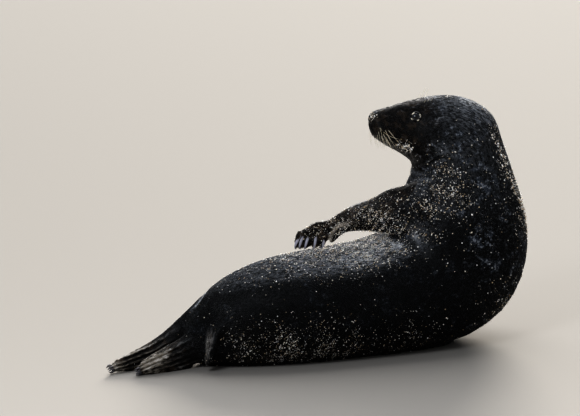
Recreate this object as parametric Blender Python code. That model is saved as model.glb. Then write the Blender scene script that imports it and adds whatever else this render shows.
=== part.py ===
"""A young grey seal bull lying on its right side, with its back to the front (-Y), its hind end
at -X, and its neck curled up and back so that the head looks along -X. Metres, +Z up.

The body is one run of rings from nose to rump, each ring given by a point of the back line, a
point of the belly line and a half width, and cut into head, neck, chest, trunk and hindquarters.
Flippers, tail, eyes and claws are solids of their own. What lies on the floor is flat at z = 0.
"""

import math

import bmesh
import bpy
import numpy as np
from mathutils import Vector

GAP = 0.0003  # left between neighbouring solids
FLOOR = 0.0
CUTTER_FLOOR = -0.02  # cutters reach below the floor, so that no two cut faces coincide
BODY_SIDES = 32
BODY_STEPS = 2  # rings for each stretch between two stations
FLIPPER_SIDES = 24
FLIPPER_STEPS = 2
DIGIT_REACH = 0.22  # half of a digit's width, where half a flipper's width is 1

# Stations along the body: the back line (x, z), the belly line (x, z), the half width, how much
# wider the ring is towards the back line, and how far the middle lies from the y = 0 plane.
STATIONS = {
    "nose": ((0.152, 0.789), (0.149, 0.765), 0.016, 0.0, 0.0),
    "snout": ((0.164, 0.803), (0.156, 0.730), 0.036, -0.05, 0.0),
    "whiskers": ((0.189, 0.811), (0.175, 0.706), 0.046, -0.10, 0.0),
    "muzzle": ((0.224, 0.817), (0.211, 0.680), 0.050, -0.10, 0.0),
    "brow": ((0.267, 0.826), (0.243, 0.660), 0.059, -0.10, 0.0),
    "eye": ((0.316, 0.834), (0.271, 0.640), 0.074, -0.14, 0.0),
    "ear": ((0.380, 0.839), (0.291, 0.621), 0.094, -0.12, 0.0),
    "crown": ((0.450, 0.835), (0.301, 0.604), 0.110, -0.08, 0.0),
    "nape": ((0.518, 0.812), (0.302, 0.590), 0.124, -0.04, 0.0),
    "scruff": ((0.583, 0.760), (0.296, 0.573), 0.138, 0.0, 0.0),
    "neck": ((0.614, 0.680), (0.286, 0.552), 0.151, 0.0, 0.0),
    "withers": ((0.645, 0.566), (0.266, 0.520), 0.172, 0.0, 0.0),
    "shoulder": ((0.678, 0.442), (0.246, 0.482), 0.200, 0.0, 0.0),
    "chest": ((0.687, 0.318), (0.232, 0.452), 0.217, 0.0, 0.0),
    "breast": ((0.658, 0.196), (0.222, 0.426), 0.225, 0.02, 0.0),
    "girth": ((0.582, 0.088), (0.212, 0.402), 0.228, 0.04, 0.0),
    "ribs": ((0.450, 0.012), (0.198, 0.397), 0.228, 0.06, 0.0),
    "flank": ((0.283, -0.014), (0.160, 0.387), 0.222, 0.08, 0.0),
    "belly": ((0.105, -0.018), (0.085, 0.371), 0.214, 0.08, 0.0),
    "waist": ((-0.080, -0.018), (-0.075, 0.360), 0.198, 0.08, 0.0),
    "loin": ((-0.215, -0.012), (-0.208, 0.345), 0.178, 0.08, 0.005),
    "hip": ((-0.320, -0.008), (-0.318, 0.309), 0.155, 0.06, 0.02),
    "rump": ((-0.390, 0.000), (-0.398, 0.263), 0.130, 0.04, 0.032),
    "stern": ((-0.442, 0.004), (-0.457, 0.200), 0.103, 0.0, 0.040),
    "heels": ((-0.486, 0.016), (-0.508, 0.128), 0.060, 0.0, 0.048),
}
BODY_PIECES = {
    "head": ("nose", "nape"),
    "neck": ("nape", "withers"),
    "chest": ("withers", "ribs"),
    "trunk": ("ribs", "loin"),
    "hindquarters": ("loin", "heels"),
}
# Swellings of the flesh on both sides: middle, reach and height.
SWELLINGS = (
    ((0.186, 0.045, 0.738), 0.026, 0.006),  # whisker pad
    ((0.272, 0.050, 0.815), 0.020, 0.004),  # brow
    ((0.345, 0.092, 0.690), 0.050, 0.008),  # cheek
)

EYE_RADIUS = 0.020
EYE_MIDDLE = (0.298, 0.0435, 0.779)

# Fore flippers: half width and half thickness from the shoulder to the digit tips. The left
# one hangs bent at the wrist, and the right one lies spread on the floor behind the body.
FORE_LEFT_SECTIONS = (
    (0.098, 0.064),
    (0.085, 0.047),
    (0.057, 0.028),
    (0.045, 0.020),
    (0.038, 0.016),
    (0.035, 0.014),
    (0.041, 0.013),
    (0.050, 0.012),
    (0.056, 0.011),
    (0.054, 0.008),
)
FORE_RIGHT_SECTIONS = (
    (0.080, 0.046),
    (0.072, 0.040),
    (0.062, 0.032),
    (0.055, 0.024),
    (0.051, 0.018),
    (0.050, 0.015),
    (0.052, 0.013),
    (0.054, 0.012),
    (0.054, 0.011),
    (0.048, 0.008),
)
# The middle of each section, and the direction from its trailing to its leading edge.
FORE_LEFT = (
    ((0.325, -0.090, 0.486), (0.0, 0.05, 1.0)),
    ((0.220, -0.064, 0.478), (0.05, 0.1, 1.0)),
    ((0.135, -0.042, 0.465), (0.08, 0.1, 1.0)),
    ((0.076, -0.028, 0.458), (0.02, 0.1, 1.0)),
    ((0.035, -0.022, 0.444), (-0.12, 0.1, 1.0)),
    ((0.005, -0.020, 0.428), (-0.60, 0.1, 1.0)),
    ((-0.021, -0.020, 0.420), (-1.10, 0.1, 1.0)),
    ((-0.050, -0.020, 0.411), (-1.0, 0.0, 0.50)),
    ((-0.070, -0.020, 0.395), (-1.0, 0.0, 0.26)),
    ((-0.077, -0.020, 0.368), (-1.0, 0.0, 0.10)),
)
FORE_RIGHT = (
    ((0.390, 0.090, 0.125), (0.85, 0.45, -0.2)),
    ((0.366, 0.160, 0.092), (0.85, 0.50, -0.15)),
    ((0.330, 0.212, 0.062), (0.75, 0.60, -0.1)),
    ((0.288, 0.250, 0.038), (0.65, 0.70, -0.05)),
    ((0.244, 0.276, 0.024), (0.55, 0.80, 0.0)),
    ((0.204, 0.296, 0.016), (0.48, 0.88, 0.0)),
    ((0.166, 0.312, 0.013), (0.42, 0.90, 0.0)),
    ((0.130, 0.326, 0.011), (0.38, 0.92, 0.0)),
    ((0.098, 0.338, 0.010), (0.36, 0.93, 0.0)),
    ((0.074, 0.347, 0.008), (0.35, 0.94, 0.0)),
)
# Hind flippers, closed like fans: the left one lies above and behind the right one.
HIND_LEFT_SECTIONS = (
    (0.058, 0.044),
    (0.056, 0.038),
    (0.050, 0.031),
    (0.041, 0.026),
    (0.033, 0.021),
    (0.026, 0.016),
    (0.018, 0.010),
)
HIND_RIGHT_SECTIONS = (
    (0.064, 0.040),
    (0.063, 0.035),
    (0.052, 0.029),
    (0.044, 0.024),
    (0.036, 0.019),
    (0.028, 0.014),
    (0.019, 0.009),
)
HIND_LEFT = (
    ((-0.405, 0.085, 0.172), (-0.5, 0.0, 1.0)),
    ((-0.475, 0.086, 0.114), (-0.5, 0.0, 1.0)),
    ((-0.545, 0.084, 0.068), (-0.5, 0.0, 1.0)),
    ((-0.612, 0.080, 0.042), (-0.5, 0.0, 1.0)),
    ((-0.675, 0.074, 0.028), (-0.5, 0.0, 1.0)),
    ((-0.730, 0.066, 0.019), (-0.5, 0.0, 1.0)),
    ((-0.762, 0.060, 0.014), (-0.5, 0.0, 1.0)),
)
HIND_RIGHT = (
    ((-0.400, 0.020, 0.098), (-0.3, -0.1, 1.0)),
    ((-0.465, 0.014, 0.073), (-0.3, -0.2, 1.0)),
    ((-0.525, 0.008, 0.055), (-0.3, -0.2, 1.0)),
    ((-0.580, 0.003, 0.043), (-0.3, -0.3, 1.0)),
    ((-0.628, 0.000, 0.031), (-0.3, -0.4, 1.0)),
    ((-0.662, -0.002, 0.022), (-0.3, -0.5, 1.0)),
    ((-0.684, -0.004, 0.015), (-0.3, -0.5, 1.0)),
)
# The tail lies across the rump, down to the floor: middle and half width, half thickness.
TAIL = (
    ((-0.400, -0.046, 0.172), 0.027, 0.012),
    ((-0.423, -0.072, 0.146), 0.027, 0.012),
    ((-0.438, -0.083, 0.112), 0.025, 0.011),
    ((-0.450, -0.082, 0.078), 0.022, 0.011),
    ((-0.457, -0.071, 0.046), 0.018, 0.010),
    ((-0.458, -0.060, 0.019), 0.011, 0.007),
)
TAIL_EDGE = (-0.35, 1.0, -0.1)
TAIL_SIDES = 16

# Claws: length, half width and half depth at the root, how far the hook rises, how much of the
# length lies on the digit, and how high on its back.
FORE_CLAW = {
    "length": 0.046, "width": 0.0055, "depth": 0.0036, "hook": 0.005, "covered": 1.02, "sits": 0.9
}
HIND_CLAW = {
    "length": 0.022, "width": 0.0026, "depth": 0.0022, "hook": 0.002, "covered": 0.7, "sits": 0.8
}
# Where the claws and digits lie across each flipper, from its leading edge, 1, to its trailing
# edge, -1.
FORE_DIGITS = (0.88, 0.62, 0.27, -0.26, -0.80)
HIND_DIGITS = (0.80, 0.40, 0.00, -0.40, -0.80)
CLAW_SIDES = 6
CLAW_RINGS = 3


def clear_scene():
    for thing in list(bpy.data.objects):
        bpy.data.objects.remove(thing, do_unlink=True)


def make_material(name, colour, roughness):
    material = bpy.data.materials.new(name)
    material.use_nodes = True
    surface = material.node_tree.nodes["Principled BSDF"]
    surface.inputs["Base Color"].default_value = (*colour, 1.0)
    surface.inputs["Roughness"].default_value = roughness
    surface.inputs["Metallic"].default_value = 0.0
    return material


def smooth_rows(rows, steps):
    """The rows with `steps` rows for each stretch, on a smooth curve through all of them."""
    rows = np.array(rows, float)
    slopes = np.gradient(rows, axis=0)
    out = []
    for here in range(len(rows) - 1):
        for step in range(steps):
            t = step / steps
            out.append(
                (2 * t**3 - 3 * t**2 + 1) * rows[here]
                + (t**3 - 2 * t**2 + t) * slopes[here]
                + (3 * t**2 - 2 * t**3) * rows[here + 1]
                + (t**3 - t**2) * slopes[here + 1]
            )
    out.append(rows[-1])
    return out


def swell(point, middle):
    """The point pushed away from its ring's middle where a swelling reaches it."""
    mirrored = Vector((point.x, abs(point.y), point.z))
    outward = (point - middle).normalized()
    for centre, reach, height in SWELLINGS:
        far = (mirrored - Vector(centre)).length / reach
        point = point + outward * height * math.exp(-far * far)
    return point


def body_ring(row, grown=0.0, along=0.0, floor=FLOOR):
    """The points of one ring, grown outward, moved towards the nose, and laid on the floor."""
    back = Vector((row[0], row[6], row[1]))
    belly = Vector((row[2], row[6], row[3]))
    half_width, lean = row[4], row[5]
    middle = (back + belly) / 2
    to_back = (back - belly).normalized()
    half_height = (back - belly).length / 2
    to_nose = to_back.cross(Vector((0, 1, 0)))
    points = []
    for side in range(BODY_SIDES):
        angle = 2 * math.pi * side / BODY_SIDES
        height = math.cos(angle)
        width = math.sin(angle) * (1 + lean * height)
        point = swell(
            middle
            + to_back * (half_height + grown) * height
            + Vector((0, 1, 0)) * (half_width + grown) * width,
            middle,
        )
        point += to_nose * along
        if point.z < floor:
            point -= to_back * (point.z - floor) / to_back.z
            point.z = floor
        points.append(point)
    return points


def loft(name, rings):
    """A closed mesh over the rings, with a fan of triangles on each end."""
    shape = bmesh.new()
    loops = [[shape.verts.new(point) for point in ring] for ring in rings]
    count = len(loops[0])
    for first, second in zip(loops, loops[1:]):
        for side in range(count):
            after = (side + 1) % count
            shape.faces.new((first[side], first[after], second[after], second[side]))
    for loop in (loops[0], loops[-1]):
        middle = shape.verts.new(sum((vert.co for vert in loop), Vector()) / count)
        for side in range(count):
            shape.faces.new((loop[side], loop[(side + 1) % count], middle))
    bmesh.ops.recalc_face_normals(shape, faces=shape.faces)
    mesh = bpy.data.meshes.new(name)
    shape.to_mesh(mesh)
    shape.free()
    mesh.shade_smooth()
    made = bpy.data.objects.new(name, mesh)
    bpy.context.collection.objects.link(made)
    return made


def hide(cutter):
    cutter.hide_render = True
    cutter.display_type = "WIRE"
    return cutter


def cut(target, cutter):
    modifier = target.modifiers.new("cut " + cutter.name, "BOOLEAN")
    modifier.operation = "DIFFERENCE"
    modifier.solver = "EXACT"
    modifier.object = cutter


def body_rows():
    rows = [(*back, *belly, *rest) for back, belly, *rest in STATIONS.values()]
    return smooth_rows(rows, BODY_STEPS)


def body_pieces(material):
    """Head, neck, chest, trunk and hindquarters, half a gap back from each cut between them."""
    rows = body_rows()
    names = list(STATIONS)
    for name, (first, last) in BODY_PIECES.items():
        start = names.index(first) * BODY_STEPS
        end = names.index(last) * BODY_STEPS
        rings = [body_ring(row) for row in rows[start : end + 1]]
        if start > 0:
            rings[0] = body_ring(rows[start], along=-GAP / 2)
        if end < len(rows) - 1:
            rings[-1] = body_ring(rows[end], along=GAP / 2)
        loft(name, rings).data.materials.append(material)


def body_cutter():
    """The whole body, a gap larger all round, to cut flippers and tail clear of it."""
    rows = body_rows()
    rings = [body_ring(row, grown=GAP, floor=CUTTER_FLOOR) for row in rows]
    rings[0] = body_ring(rows[0], grown=GAP, along=GAP, floor=CUTTER_FLOOR)
    rings[-1] = body_ring(rows[-1], grown=GAP, along=-GAP, floor=CUTTER_FLOOR)
    hide(loft("body_cutter", rings))


def eyes(material):
    for name, side in (("eye_left", -1), ("eye_right", 1)):
        x, y, z = EYE_MIDDLE
        for label, radius in ((name, EYE_RADIUS), (name + "_socket", EYE_RADIUS + GAP)):
            bpy.ops.mesh.primitive_uv_sphere_add(
                segments=14, ring_count=9, radius=radius, location=(x, side * y, z)
            )
            ball = bpy.context.object
            ball.name = label
            ball.rotation_euler = (math.radians(90), 0, 0)
            ball.data.shade_smooth()
            if radius == EYE_RADIUS:
                ball.data.materials.append(material)
            else:
                cut(bpy.data.objects["head"], hide(ball))


def flipper_frames(rows, sections):
    """Middle, leading direction, half width and half thickness of each section, smoothed."""
    joined = []
    for (middle, leading), (width, depth) in zip(rows, sections):
        joined.append((*middle, *Vector(leading).normalized(), width, depth))
    return smooth_rows(joined, FLIPPER_STEPS)


def frame_axes(frames, index):
    """The middle of a section with its leading, forward and outer directions."""
    middle = Vector(frames[index][:3])
    ahead = Vector(frames[min(index + 1, len(frames) - 1)][:3])
    behind = Vector(frames[max(index - 1, 0)][:3])
    leading = Vector(frames[index][3:6]).normalized()
    outer = leading.cross(ahead - behind).normalized()
    return middle, leading, outer.cross(leading), outer


def digit_ridge(across, digits, strength):
    """Thickness of the web between two digits against 1 on a digit's own line."""
    nearest = min(abs(across - digit) for digit in digits)
    return 1 - strength * min(1.0, (nearest / DIGIT_REACH) ** 2)


def flipper(name, rows, sections, material, digits, digits_from):
    frames = flipper_frames(rows, sections)
    rings = []
    for index, frame in enumerate(frames):
        middle, leading, forward, outer = frame_axes(frames, index)
        half_width, half_depth = frame[6], frame[7]
        progress = index / (len(frames) - 1)
        strength = max(0.0, progress - digits_from) / (1 - digits_from)
        ring = []
        for side in range(FLIPPER_SIDES):
            angle = 2 * math.pi * side / FLIPPER_SIDES
            across = math.cos(angle)
            ridge = digit_ridge(across, digits, 0.45 * strength)
            reach = (digit_ridge(across, digits, 1.0) - 1) * 0.012 * strength**4
            point = (
                middle
                + leading * half_width * across
                + outer * half_depth * math.sin(angle) * ridge
                + forward * reach
            )
            point.z = max(point.z, FLOOR)
            ring.append(point)
        rings.append(ring)
    made = loft(name, rings)
    made.data.materials.append(material)
    return made, frames


def claw(name, frames, across, size, material, grown=0.0):
    """A hooked cone that lies along the end of a digit, on the back of the flipper."""
    middle, leading, along, outer = frame_axes(frames, len(frames) - 1)
    half_width, half_depth = frames[-1][6], frames[-1 - FLIPPER_STEPS][7]
    rise = half_depth * size["sits"] * math.sqrt(1 - across * across)
    base = middle + leading * half_width * across + outer * rise
    base -= along * size["length"] * size["covered"]
    sideways = along.cross(outer).normalized()
    up = sideways.cross(along)
    rings = []
    for step in range(CLAW_RINGS + 1):
        t = step / CLAW_RINGS
        taper = 0.12 + 0.88 * math.sqrt(1 - 0.96 * t * t)
        centre = base + along * size["length"] * t
        centre += up * size["hook"] * (math.sin(math.pi * min(t * 1.1, 1)) - 1.2 * t * t)
        centre.z = max(centre.z, FLOOR + size["width"])
        ring = []
        for corner in range(CLAW_SIDES):
            angle = 2 * math.pi * corner / CLAW_SIDES
            point = centre + sideways * (size["width"] * taper + grown) * math.cos(angle)
            point += up * (size["depth"] * taper + grown) * math.sin(angle)
            ring.append(point)
        if grown and step in (0, CLAW_RINGS):
            ring = [point + along * grown * (1 if step else -1) for point in ring]
        rings.append(ring)
    made = loft(name, rings)
    made.data.materials.append(material)
    return made


def limb(name, rows, sections, size, skin, horn, digits, digits_from):
    """A flipper with its five claws, cut clear of the body and of its own claws."""
    made, frames = flipper(name, rows, sections, skin, digits, digits_from)
    cut(made, bpy.data.objects["body_cutter"])
    for number, across in enumerate(digits, start=1):
        label = f"{name}_claw_{number}"
        claw(label, frames, across, size, horn)
        socket = claw(label + "_socket", frames, across, size, horn, GAP)
        cut(made, hide(socket))


def tail(material):
    rings = []
    for index, (middle, half_width, half_depth) in enumerate(TAIL):
        ahead = Vector(TAIL[min(index + 1, len(TAIL) - 1)][0])
        behind = Vector(TAIL[max(index - 1, 0)][0])
        along = (ahead - behind).normalized()
        edge = Vector(TAIL_EDGE)
        edge = (edge - along * edge.dot(along)).normalized()
        outer = along.cross(edge)
        ring = []
        for side in range(TAIL_SIDES):
            angle = 2 * math.pi * side / TAIL_SIDES
            point = Vector(middle) + edge * half_width * math.cos(angle)
            point += outer * half_depth * math.sin(angle)
            point.z = max(point.z, FLOOR)
            ring.append(point)
        rings.append(ring)
    made = loft("tail", rings)
    made.data.materials.append(material)
    cut(made, bpy.data.objects["body_cutter"])


def main():
    clear_scene()
    coat = make_material("charcoal_coat", (0.030, 0.030, 0.034), 0.6)
    flipper_coat = make_material("flipper_coat", (0.050, 0.045, 0.042), 0.6)
    horn = make_material("claw_horn", (0.36, 0.34, 0.38), 0.35)
    eye = make_material("eye_dark", (0.010, 0.008, 0.010), 0.05)
    body_pieces(coat)
    body_cutter()
    eyes(eye)
    for name, rows, sections in (
        ("fore_flipper_left", FORE_LEFT, FORE_LEFT_SECTIONS),
        ("fore_flipper_right", FORE_RIGHT, FORE_RIGHT_SECTIONS),
    ):
        limb(name, rows, sections, FORE_CLAW, flipper_coat, horn, FORE_DIGITS, 0.45)
    for name, rows, sections in (
        ("hind_flipper_left", HIND_LEFT, HIND_LEFT_SECTIONS),
        ("hind_flipper_right", HIND_RIGHT, HIND_RIGHT_SECTIONS),
    ):
        limb(name, rows, sections, HIND_CLAW, flipper_coat, horn, HIND_DIGITS, 0.2)
    tail(coat)


main()
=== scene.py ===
"""A life-size model of a young grey seal bull, lying on its right side and looking back.

The CAD nodes of flesh are copied, joined into one skin and shaped further; over it lie a coat of
short tufts, grains of sand, whiskers and brow hairs. Eyes, lids and claws are pieces of their
own. Metres, +Z up; the seal's back faces -Y, its head looks along -X, and the floor is z = 0.
"""

import math

import bpy
import numpy as np
from mathutils import Matrix, Vector
from mathutils.bvhtree import BVHTree


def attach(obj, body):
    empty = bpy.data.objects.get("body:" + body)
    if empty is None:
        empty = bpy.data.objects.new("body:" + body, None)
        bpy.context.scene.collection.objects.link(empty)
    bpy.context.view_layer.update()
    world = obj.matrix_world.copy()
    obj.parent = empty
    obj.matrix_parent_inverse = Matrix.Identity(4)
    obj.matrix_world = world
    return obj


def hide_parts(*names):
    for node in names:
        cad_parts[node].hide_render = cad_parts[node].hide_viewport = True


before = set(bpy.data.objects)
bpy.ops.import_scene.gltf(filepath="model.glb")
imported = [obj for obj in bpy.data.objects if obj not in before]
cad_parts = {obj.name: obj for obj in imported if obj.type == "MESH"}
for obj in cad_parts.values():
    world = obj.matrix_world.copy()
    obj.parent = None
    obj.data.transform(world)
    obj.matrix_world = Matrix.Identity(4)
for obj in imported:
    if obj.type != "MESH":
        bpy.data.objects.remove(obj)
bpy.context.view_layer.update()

# ------------------------------------------------------------
# Lie of the body. The spine and the middle lines of the flippers and tail, from which the skin,
# the markings and the coat all take their place: where a point lies along the animal, how far
# round it, and which way its hair points.


def path(*rows):
    """A line through rows of x, y, z and a half thickness or a strength, in thousandths."""
    return np.array(rows, float) / 1000


LINES = {
    "body": path(
        (150, 0, 777, 16), (160, 0, 767, 36), (182, 0, 759, 50), (217, 0, 749, 59),
        (255, 0, 744, 70), (294, 0, 737, 86), (336, 0, 730, 105), (376, 0, 720, 124),
        (410, 0, 701, 138), (440, 0, 667, 155), (450, 0, 616, 165), (456, 0, 543, 182),
        (462, 0, 462, 207), (460, 0, 385, 225), (440, 0, 311, 235), (397, 0, 245, 235),
        (324, 0, 200, 220), (222, 0, 180, 208), (95, 0, 173, 202), (-78, 0, 171, 193),
        (-212, 5, 167, 178), (-319, 20, 151, 157), (-394, 32, 129, 130), (-449, 40, 103, 100),
        (-498, 48, 79, 58),
    ),
    "fore_left": path(
        (325, -90, 486, 86), (220, -64, 478, 74), (135, -42, 465, 56), (76, -28, 458, 45),
        (35, -22, 444, 40), (5, -20, 428, 40), (-21, -20, 420, 44), (-50, -20, 411, 52),
        (-70, -20, 395, 56), (-77, -20, 368, 56),
    ),
    "fore_right": path(
        (390, 90, 125, 60), (366, 160, 92, 68), (330, 212, 62, 62), (288, 250, 38, 55),
        (244, 276, 24, 52), (204, 296, 16, 51), (166, 312, 13, 53), (130, 326, 11, 55),
        (98, 338, 10, 55), (74, 347, 8, 50),
    ),
    "hind_left": path(
        (-405, 85, 172, 40), (-475, 86, 114, 50), (-545, 84, 68, 50), (-612, 80, 42, 43),
        (-675, 74, 28, 36), (-730, 66, 19, 30), (-762, 60, 14, 22),
    ),
    "hind_right": path(
        (-400, 20, 108, 40), (-465, 14, 84, 50), (-525, 8, 60, 50), (-580, 3, 43, 44),
        (-628, 0, 31, 38), (-662, -2, 22, 30), (-684, -4, 15, 22),
    ),
    "tail": path(
        (-400, -46, 172, 20), (-423, -72, 146, 24), (-438, -83, 112, 26), (-450, -82, 78, 23),
        (-457, -71, 46, 19), (-458, -60, 19, 12),
    ),
}
LIMBS = ("fore_left", "fore_right", "hind_left", "hind_right", "tail")
FAR_OFF = 9.0  # a nearness that counts as out of reach


def nearest(points, rows):
    """For each point: distance from the line, how many rows along, fourth value, direction."""
    best = np.full(len(points), np.inf)
    share = np.zeros(len(points))
    fourth = np.ones(len(points))
    heading = np.zeros((len(points), 3))
    for index, (start, end) in enumerate(zip(rows, rows[1:])):
        step = end[:3] - start[:3]
        t = np.clip((points - start[:3]) @ step / (step @ step), 0, 1)
        gap = np.linalg.norm(points - start[:3] - t[:, None] * step, axis=1)
        closer = gap < best
        best[closer] = gap[closer]
        share[closer] = index + t[closer]
        fourth[closer] = (start[3] + t * (end[3] - start[3]))[closer]
        heading[closer] = step / np.linalg.norm(step)
    return best, share, fourth, heading


def between(share, rows):
    """The first three values of a line's rows, at places between the rows."""
    return np.column_stack([np.interp(share, range(len(rows)), rows[:, k]) for k in range(3)])


def rounded(rows, pieces=6):
    """The line's rows with more between them, on a smooth curve through the old ones."""
    before = np.vstack((2 * rows[0] - rows[1], rows[:-2], rows[-2:-1]))[: len(rows) - 1]
    after = np.vstack((rows[2:], 2 * rows[-1] - rows[-2]))
    found = []
    for a, b, c, d in zip(before, rows[:-1], rows[1:], after):
        for t in np.arange(pieces) / pieces:
            bend = (2 * a - 5 * b + 4 * c - d) * t**2 + (3 * b - a - 3 * c + d) * t**3
            found.append(0.5 * (2 * b + (c - a) * t + bend))
    return np.array(found + [rows[-1]])


def unbent(points, line, offset=0.0):
    """Where each point would lie if its line were straight: along it, and two ways across."""
    rows = rounded(line)
    steps = np.linalg.norm(np.diff(rows[:, :3], axis=0), axis=1)
    lengths = np.concatenate(((0.0,), np.cumsum(steps)))
    _, share, _, heading = nearest(points, rows)
    across = np.cross(heading, (0.0, 1.0, 0.0))
    spoke = points - between(share, rows)
    travel = np.interp(share, range(len(rows)), lengths)
    return np.column_stack((travel + offset, spoke[:, 1], (spoke * across).sum(1)))


def length_of(vectors):
    return np.linalg.norm(vectors, axis=1)


def ease(low, high, value):
    """0 at low, 1 at high, with a smooth passage between them, which may run either way."""
    t = np.clip((value - low) / (high - low), 0, 1)
    return t * t * (3 - 2 * t)


def bell(points, *ball):
    """1 at the middle of a ball, fading over its radius. The ball is x, y, z, radius in mm."""
    x, y, z, reach = np.array(ball) / 1000
    far = length_of(points - (x, y, z)) / reach
    return np.exp(-far * far)


def mirrored(points):
    """The points with those of the right side brought over to the left."""
    return np.column_stack((points[:, 0], -np.abs(points[:, 1]), points[:, 2]))


# ------------------------------------------------------------
# Skin. One closed hide over head, body, tail and flippers, with the folds that the real one has:
# lids, nostrils, mouth, ear openings, throat and shoulder creases, and digits in their webs. The
# nodes of flesh are copied, joined by a voxel remesh, laid inside by the coat's depth and shaped.
FLIPPERS = [f"{limb}_flipper_{side}" for limb in ("fore", "hind") for side in ("left", "right")]
FLESH = ("head", "neck", "chest", "trunk", "hindquarters", "tail", *FLIPPERS)
EYES = ("eye_left", "eye_right")
FORE_CLAWS = [f"{limb}_claw_{number}" for limb in FLIPPERS[:2] for number in range(1, 6)]
OVERLAP = 0.0005  # each copy is swollen by this, so that the 0.3 mm gaps close
SKIN_VOXEL = 0.0074
BODY_COAT, HEAD_COAT, FLIPPER_COAT = 0.004, 0.0022, 0.0015  # how deep the coat is over the skin
CLEARANCE = 0.0005  # between the skin's underside and the floor
HAND_LIFT = 0.014  # the resting hand is lifted off the flank while the skin is joined
HAND_FROM, HAND_TO = 0.010, -0.050  # where along x the lift begins, and where it is whole
HAND_BOX = ((-0.16, -0.12, 0.34), (HAND_FROM + 0.01, 0.06, 0.48))
HAND_SKIN = 0.0035  # skin this near the lifted copies is the hand's own
EYE_MIDDLE = np.array((0.298, -0.0435, 0.779))
EYE_RADIUS = 0.0200


def pull(items, field, width=3, kind=np.float32):
    """One field of every item, a row for each."""
    found = np.empty(len(items) * width, kind)
    items.foreach_get(field, found)
    return found.reshape(-1, width)


def places(mesh):
    return pull(mesh.vertices, "co").astype(float)


def normals(mesh):
    return pull(mesh.vertex_normals, "vector").astype(float)


def put_places(mesh, points):
    mesh.vertices.foreach_set("co", points.astype(np.float32).ravel())
    mesh.update()


def corner_lists(mesh):
    return [tuple(face.vertices) for face in mesh.polygons]


def add_object(name, mesh):
    made = bpy.data.objects.new(name, mesh)
    bpy.context.collection.objects.link(made)
    return made


def pick(*things):
    """Selects these objects alone, with the first one active."""
    bpy.ops.object.select_all(action="DESELECT")
    for thing in things:
        thing.select_set(True)
    bpy.context.view_layer.objects.active = things[0]


def edit_whole(thing, operator, **settings):
    """Runs a mesh operator on all of one object."""
    pick(thing)
    bpy.ops.object.mode_set(mode="EDIT")
    bpy.ops.mesh.select_all(action="SELECT")
    operator(**settings)
    bpy.ops.object.mode_set(mode="OBJECT")


def modify(thing, kind, **settings):
    """Adds a modifier with its settings and applies it."""
    modifier = thing.modifiers.new(kind.lower(), kind)
    for name, value in settings.items():
        setattr(modifier, name, value)
    pick(thing)
    bpy.ops.object.modifier_apply(modifier=modifier.name)


def neighbours_mean(mesh):
    """A function that gives each vertex the mean of its neighbours' values."""
    ends = pull(mesh.edges, "vertices", 2, np.int32)
    first, second = ends.T
    size = len(mesh.vertices)
    count = np.bincount(ends.ravel(), minlength=size)[:, None]

    def mean(values):
        total = np.empty_like(values)
        for axis in range(values.shape[1]):
            total[:, axis] = np.bincount(first, values[second, axis], size)
            total[:, axis] += np.bincount(second, values[first, axis], size)
        return total / count

    return mean


def relax(mesh, rounds, give_back=2):
    """Evens the surface, then gives back the broad part of what that took off."""
    mean = neighbours_mean(mesh)
    start = places(mesh)
    points = start
    for _ in range(rounds):
        points = points + 0.5 * (mean(points) - points)
    lost = start - points
    for _ in range(rounds * give_back):
        lost = lost + 0.5 * (mean(lost) - lost)
    put_places(mesh, points + lost)


def subdivide_where(thing, chosen):
    """Cuts each edge of the faces whose middle is chosen in two."""
    picked = chosen(pull(thing.data.polygons, "center").astype(float))
    pick(thing)
    bpy.ops.object.mode_set(mode="EDIT")
    bpy.ops.mesh.select_mode(type="FACE")
    bpy.ops.mesh.select_all(action="DESELECT")
    bpy.ops.object.mode_set(mode="OBJECT")
    thing.data.polygons.foreach_set("select", picked)
    bpy.ops.object.mode_set(mode="EDIT")
    bpy.ops.mesh.subdivide(number_cuts=1, quadcorner="INNERVERT")
    bpy.ops.object.mode_set(mode="OBJECT")


def on_limbs_or_head(points):
    found = (points[:, 0] < 0.37) & (points[:, 2] > 0.64)
    for name in LIMBS:
        gap, share, thick, _ = nearest(points, LINES[name])
        found |= (gap < thick * 1.15) & (share > 2.2)
    return found


def on_face(points):
    near_eye = length_of(mirrored(points) - EYE_MIDDLE) < 0.036
    return ((points[:, 0] < 0.255) & (points[:, 2] > 0.665)) | near_eye


def hand_lift(points):
    return HAND_LIFT * ease(HAND_FROM, HAND_TO, points[:, 0])


# The eyes and fore claws join the remesh too, which fills their sockets and rounds the digits.
copies, hand_trees = [], []
for node in (*FLESH, *EYES, *FORE_CLAWS):
    twin = add_object(node + "_copy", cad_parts[node].data.copy())
    edit_whole(twin, bpy.ops.mesh.remove_doubles, threshold=0.00001)
    modify(twin, "DISPLACE", mid_level=0.0, strength=OVERLAP)
    if node.startswith("fore_flipper_left"):
        points = places(twin.data)
        points[:, 2] += hand_lift(points)
        put_places(twin.data, points)
        hand_trees.append(BVHTree.FromPolygons(points.tolist(), corner_lists(twin.data)))
    copies.append(twin)
pick(*copies)
bpy.ops.object.join()
skin = copies[0]
skin.name = skin.data.name = "skin"
skin.data.materials.clear()
modify(skin, "REMESH", mode="VOXEL", voxel_size=SKIN_VOXEL, use_smooth_shade=True)
relax(skin.data, 8)
for region in (on_limbs_or_head, on_face):
    subdivide_where(skin, region)
    relax(skin.data, 3)

# The hand is laid down again, onto the flank.
points = places(skin.data)
in_box = np.all((points > HAND_BOX[0]) & (points < HAND_BOX[1]), axis=1)
hand = []
for index in np.flatnonzero(in_box):
    found = [tree.find_nearest(points[index])[3] for tree in hand_trees]
    if min(far for far in found if far is not None) < HAND_SKIN:
        hand.append(index)
flank_under_hand = in_box.copy()
flank_under_hand[hand] = False
laid = points[hand]
laid[:, 2] -= hand_lift(laid)
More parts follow.
